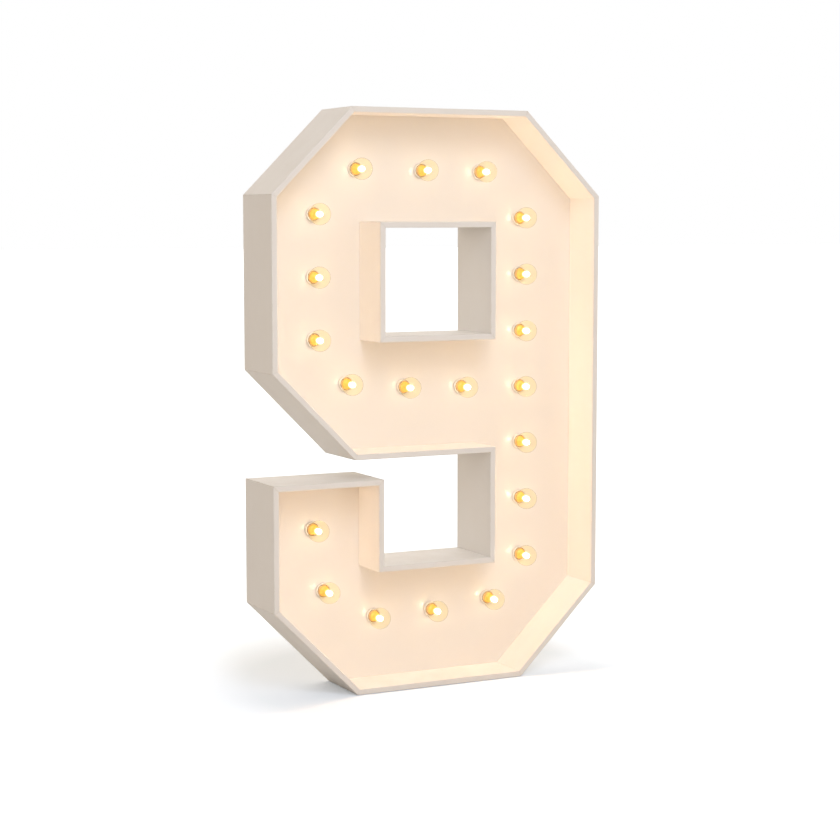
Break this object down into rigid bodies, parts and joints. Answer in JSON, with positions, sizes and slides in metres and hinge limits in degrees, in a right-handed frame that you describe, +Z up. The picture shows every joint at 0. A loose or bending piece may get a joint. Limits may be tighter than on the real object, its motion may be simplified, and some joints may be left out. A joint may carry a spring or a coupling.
{
  "type": "light up marquee number",
  "caption": "Free-standing light up figure nine: a mitred board case with a recessed face panel that holds rows of clear globe lamps, and a switched inlet at the back.",
  "frame": {"origin": "middle of the footprint, on the floor under the base board", "axes": "+Z up, +Y from the open front to the rear panel, +X to the right as seen from the front"},
  "size_m": [0.756, 0.15, 1.2],
  "materials": {
    "board_paint": "satin white paint",
    "face_paint": "semi-gloss white paint",
    "rear_panel": "painted hardboard",
    "lamp_glass": "clear",
    "white_plastic": "moulded",
    "black_plastic": "moulded",
    "rocker_plastic": "moulded",
    "nickel_pin": "nickel plated",
    "zinc_steel": "zinc plated"
  },
  "bodies": {
    "case": {"base_board": "board_paint", "base_left_board": "board_paint", "base_right_board": "board_paint", "counter_bottom_board": "board_paint", "counter_left_board": "board_paint", "counter_right_board": "board_paint", "counter_top_board": "board_paint", "face_panel": "face_paint", "globe_lamp_01": "lamp_glass", "globe_lamp_02": "lamp_glass", "globe_lamp_03": "lamp_glass", "globe_lamp_04": "lamp_glass", "globe_lamp_05": "lamp_glass", "globe_lamp_06": "lamp_glass", "globe_lamp_07": "lamp_glass", "globe_lamp_08": "lamp_glass", "globe_lamp_09": "lamp_glass", "globe_lamp_10": "lamp_glass", "globe_lamp_11": "lamp_glass", "globe_lamp_12": "lamp_glass", "globe_lamp_13": "lamp_glass", "globe_lamp_14": "lamp_glass", "globe_lamp_15": "lamp_glass", "globe_lamp_16": "lamp_glass", "globe_lamp_17": "lamp_glass", "globe_lamp_18": "lamp_glass", "globe_lamp_19": "lamp_glass", "globe_lamp_20": "lamp_glass", "globe_lamp_21": "lamp_glass", "hook_inner_board": "board_paint", "hook_side_board": "board_paint", "hook_top_board": "board_paint", "inlet_housing": "black_plastic", "inlet_pin_earth": "nickel_pin", "inlet_pin_line": "nickel_pin", "inlet_pin_neutral": "nickel_pin", "inlet_screw_left": "zinc_steel", "inlet_screw_right": "zinc_steel", "lamp_string": "white_plastic", "loop_lower_left_board": "board_paint", "loop_side_board": "board_paint", "notch_back_board": "board_paint", "notch_floor_board": "board_paint", "notch_top_board": "board_paint", "rear_panel": "rear_panel", "rear_screw_01": "zinc_steel", "rear_screw_02": "zinc_steel", "rear_screw_03": "zinc_steel", "rear_screw_04": "zinc_steel", "rear_screw_05": "zinc_steel", "rear_screw_06": "zinc_steel", "rear_screw_07": "zinc_steel", "rear_screw_08": "zinc_steel", "rear_screw_09": "zinc_steel", "rear_screw_10": "zinc_steel", "right_board": "board_paint", "top_board": "board_paint", "top_left_board": "board_paint", "top_right_board": "board_paint"},
    "rocker": {"switch_rocker": "rocker_plastic"}
  },
  "joints": [
    {"name": "switch_rocker_tilt", "type": "hinge", "parent": "case", "child": "rocker", "pos_m": [-0.143, 0.0673, 0.09], "axis": [-1, 0, 0], "range_deg": [0, 16]}
  ]
}
